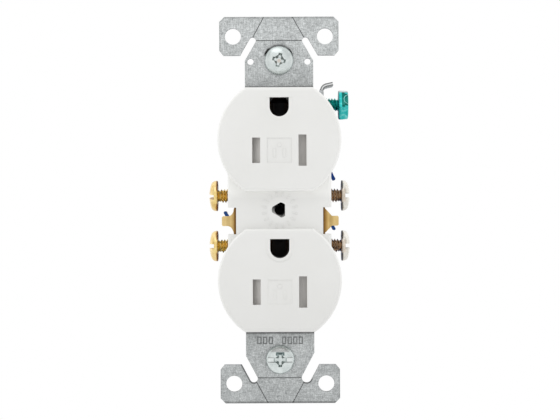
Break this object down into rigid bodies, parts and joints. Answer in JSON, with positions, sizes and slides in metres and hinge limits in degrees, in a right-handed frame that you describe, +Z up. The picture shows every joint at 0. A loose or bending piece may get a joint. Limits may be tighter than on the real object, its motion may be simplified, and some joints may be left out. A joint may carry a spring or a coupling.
{
  "type": "duplex wall receptacle",
  "caption": "Tamper-resistant duplex wall receptacle on a steel strap with break-off ears, side wire screws and sliding slot shutters.",
  "frame": {"origin": "axis of the centre wall-plate thread, at the back face of the mounting strap, which is also the middle of the two mounting screws", "axes": "+X to the right as seen from the front, +Z up with the ground holes above the blade slots, +Y into the wall box; the front faces -Y"},
  "size_m": [0.0398, 0.0288, 0.1078],
  "materials": {
    "white_plastic": "satin moulded thermoplastic",
    "blue_plastic": "satin moulded thermoplastic",
    "galvanised_steel": "spangled hot-dip zinc",
    "contact_brass": "rolled strip",
    "rivet_steel": "plain",
    "strip_brass": "rolled strip with stamped edges",
    "screw_brass": "bright plated",
    "screw_nickel": "nickel plated",
    "green_plating": "green dyed plating",
    "screw_zinc": "clear zinc plated",
    "black_fibre": "pressed fibre",
    "carrier_plastic": "natural moulded plastic",
    "shutter_plastic": "pale low-friction plastic",
    "spring_steel": "drawn wire"
  },
  "bodies": {
    "chassis": {"face_cover": "white_plastic", "back_body": "blue_plastic", "mounting_strap": "galvanised_steel", "ground_contact_upper": "contact_brass", "ground_contact_lower": "contact_brass", "ground_rivets": "rivet_steel", "hot_terminal_strip": "strip_brass", "neutral_terminal_strip": "strip_brass", "hot_push_in_clips": "contact_brass", "neutral_push_in_clips": "contact_brass", "tr_frame_upper": "carrier_plastic", "tr_frame_lower": "carrier_plastic", "tr_spring_upper": "spring_steel", "tr_spring_lower": "spring_steel", "body_screws": "screw_zinc"},
    "hot_screw_upper": {"hot_screw_upper": "screw_brass"},
    "hot_screw_lower": {"hot_screw_lower": "screw_brass"},
    "neutral_screw_upper": {"neutral_screw_upper": "screw_nickel"},
    "neutral_screw_lower": {"neutral_screw_lower": "screw_nickel"},
    "ground_screw": {"ground_screw": "green_plating"},
    "screw_retainer_top": {"screw_retainer_top": "black_fibre"},
    "mounting_screw_top": {"mounting_screw_top": "screw_zinc"},
    "screw_retainer_bottom": {"screw_retainer_bottom": "black_fibre"},
    "mounting_screw_bottom": {"mounting_screw_bottom": "screw_zinc"},
    "tr_shutter_upper": {"tr_shutter_upper": "shutter_plastic"},
    "tr_shutter_lower": {"tr_shutter_lower": "shutter_plastic"}
  },
  "joints": [
    {"name": "hot_upper_tighten", "type": "slide", "parent": "chassis", "child": "hot_screw_upper", "axis": [1, 0, 0], "range_m": [0, 0.0046]},
    {"name": "hot_lower_tighten", "type": "slide", "parent": "chassis", "child": "hot_screw_lower", "axis": [1, 0, 0], "range_m": [0, 0.0046]},
    {"name": "neutral_upper_tighten", "type": "slide", "parent": "chassis", "child": "neutral_screw_upper", "axis": [-1, 0, 0], "range_m": [0, 0.0046]},
    {"name": "neutral_lower_tighten", "type": "slide", "parent": "chassis", "child": "neutral_screw_lower", "axis": [-1, 0, 0], "range_m": [0, 0.0046]},
    {"name": "ground_tighten", "type": "slide", "parent": "chassis", "child": "ground_screw", "axis": [-1, 0, 0], "range_m": [0, 0.004]},
    {"name": "mounting_top_slide", "type": "slide", "parent": "chassis", "child": "screw_retainer_top", "axis": [0, -1, 0], "range_m": [0, 0.0015]},
    {"name": "mounting_top_turn", "type": "hinge", "parent": "screw_retainer_top", "child": "mounting_screw_top", "pos_m": [0, 0, 0.04167], "axis": [0, 1, 0], "continuous": true},
    {"name": "mounting_bottom_slide", "type": "slide", "parent": "chassis", "child": "screw_retainer_bottom", "axis": [0, -1, 0], "range_m": [0, 0.0015]},
    {"name": "mounting_bottom_turn", "type": "hinge", "parent": "screw_retainer_bottom", "child": "mounting_screw_bottom", "pos_m": [0, 0, -0.04167], "axis": [0, 1, 0], "continuous": true},
    {"name": "shutter_upper_slide", "type": "slide", "parent": "chassis", "child": "tr_shutter_upper", "axis": [1, 0, 0], "range_m": [0, 0.0026], "stiffness_N_per_m": 250, "springref_m": -0.0015, "deforming": ["tr_spring_upper"]},
    {"name": "shutter_lower_slide", "type": "slide", "parent": "chassis", "child": "tr_shutter_lower", "axis": [1, 0, 0], "range_m": [0, 0.0026], "stiffness_N_per_m": 250, "springref_m": -0.0015, "deforming": ["tr_spring_lower"]}
  ]
}
